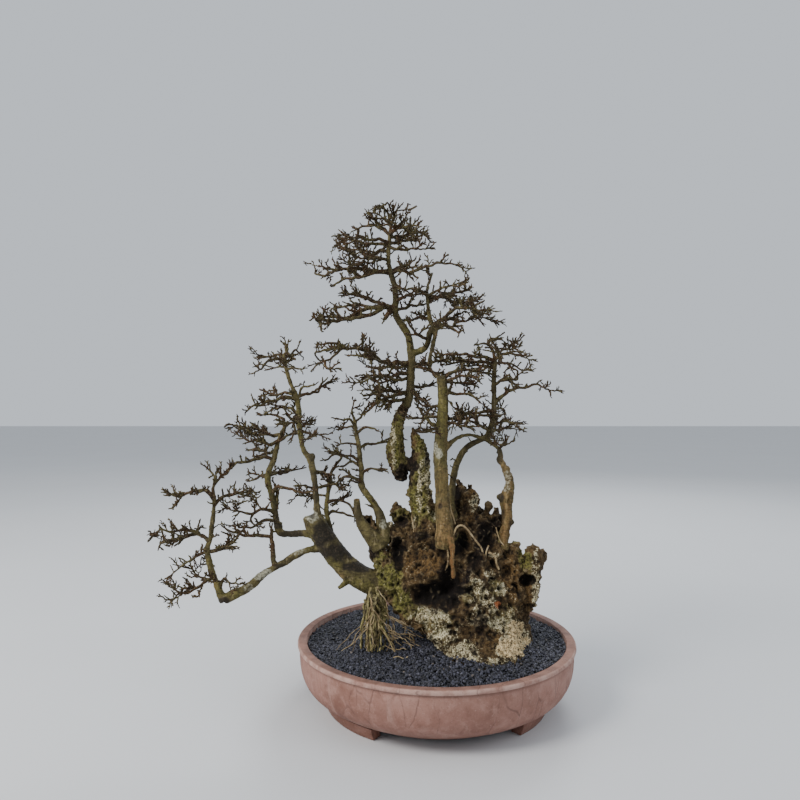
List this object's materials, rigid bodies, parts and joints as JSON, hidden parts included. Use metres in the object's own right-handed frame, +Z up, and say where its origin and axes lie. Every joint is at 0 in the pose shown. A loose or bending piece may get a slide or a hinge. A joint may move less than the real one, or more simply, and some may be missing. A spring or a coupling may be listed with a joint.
{
  "type": "potted bonsai tree",
  "caption": "Craggy many-stemmed bonsai tree with bare twigs and a stem hanging to one side, planted in grit in a round unglazed clay pot on low feet, for display.",
  "frame": {"origin": "middle of the whole object's box, on the surface that the pot's feet stand on; the pot's own axis is at x = 0.1083, y = 0", "axes": "+Z up along the pot's axis, -Y towards the front, -X towards the side that the low stem hangs to"},
  "size_m": [0.6696, 0.453, 0.8134],
  "materials": {
    "clay": "matt unglazed clay with fine dark cracks",
    "grit": "loose black grit",
    "gravel": "coarse gravel",
    "screen": "matt",
    "wire": "dull",
    "bark": "rough bark, deadwood, moss and lichen"
  },
  "bodies": {
    "root": {"pot": "clay", "soil": "grit", "drainage_layer": "gravel", "screen_1": "screen", "screen_2": "screen", "screen_3": "screen", "staple_1": "wire", "staple_2": "wire", "staple_3": "wire", "tree": "bark"}
  },
  "joints": []
}
